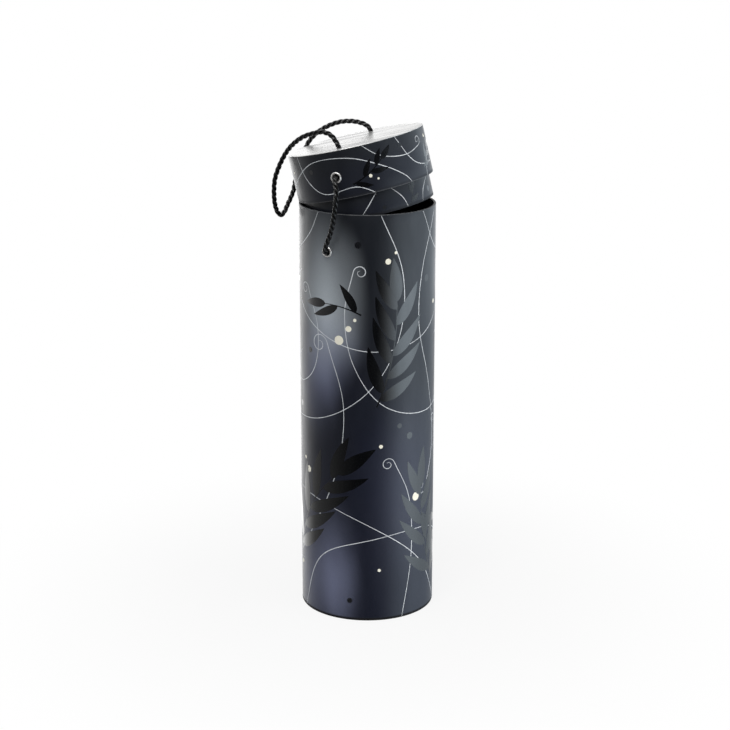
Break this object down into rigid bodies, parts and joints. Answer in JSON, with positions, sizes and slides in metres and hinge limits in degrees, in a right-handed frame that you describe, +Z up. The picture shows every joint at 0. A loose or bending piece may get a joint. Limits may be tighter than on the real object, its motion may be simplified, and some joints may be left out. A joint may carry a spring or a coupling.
{
  "type": "packaging canister",
  "caption": "Tall round board canister with a printed wrap, a plug-in lid resting open on the mouth, and a black cord laced through eyelets as tether and carrying loop.",
  "frame": {"origin": "on the floor at the centre of the canister's base", "axes": "+Z up along the canister's axis; the open lid leans towards -X and turns about a line along Y; the front pair of eyelets faces about -Y"},
  "size_m": [0.105, 0.1147, 0.3288],
  "materials": {
    "board": "rolled grey board, raw inside",
    "printed_wrap": "satin laminated print, charcoal turning to navy, with gloss spot varnish and fine cream lines",
    "dark_paper": "matt black lining paper",
    "silver_laminate": "glossy light silver laminate",
    "nickel": "bright nickel plate",
    "cord": "black twisted cord"
  },
  "bodies": {
    "canister": {"body_tube": "board", "body_wrap": "printed_wrap", "base_board": "board", "base_cover": "dark_paper", "body_eyelet_front": "nickel", "body_eyelet_back": "nickel", "body_washer_front": "nickel", "body_washer_back": "nickel", "knot_front": "cord", "knot_back": "cord"},
    "tethers": {"tether_front": "cord", "tether_back": "cord"},
    "lid": {"lid_tube": "board", "lid_wrap": "printed_wrap", "lid_top_board": "board", "lid_top_cover": "silver_laminate", "neck_tube": "board", "neck_wrap": "printed_wrap", "lid_eyelet_front": "nickel", "lid_eyelet_back": "nickel", "lid_washer_front": "nickel", "lid_washer_back": "nickel", "handle_cord": "cord"}
  },
  "joints": [
    {"name": "lid_tilt", "type": "hinge", "parent": "canister", "child": "tethers", "pos_m": [-0.0446, 0, 0.2783], "axis": [0, -1, 0], "range_deg": [-13.3, 30], "deforming": ["tether_front", "tether_back"]},
    {"name": "lid_lift", "type": "slide", "parent": "tethers", "child": "lid", "axis": [-0.23, 0, 0.9732], "range_m": [0, 0.04], "deforming": ["tether_front", "tether_back"]}
  ]
}
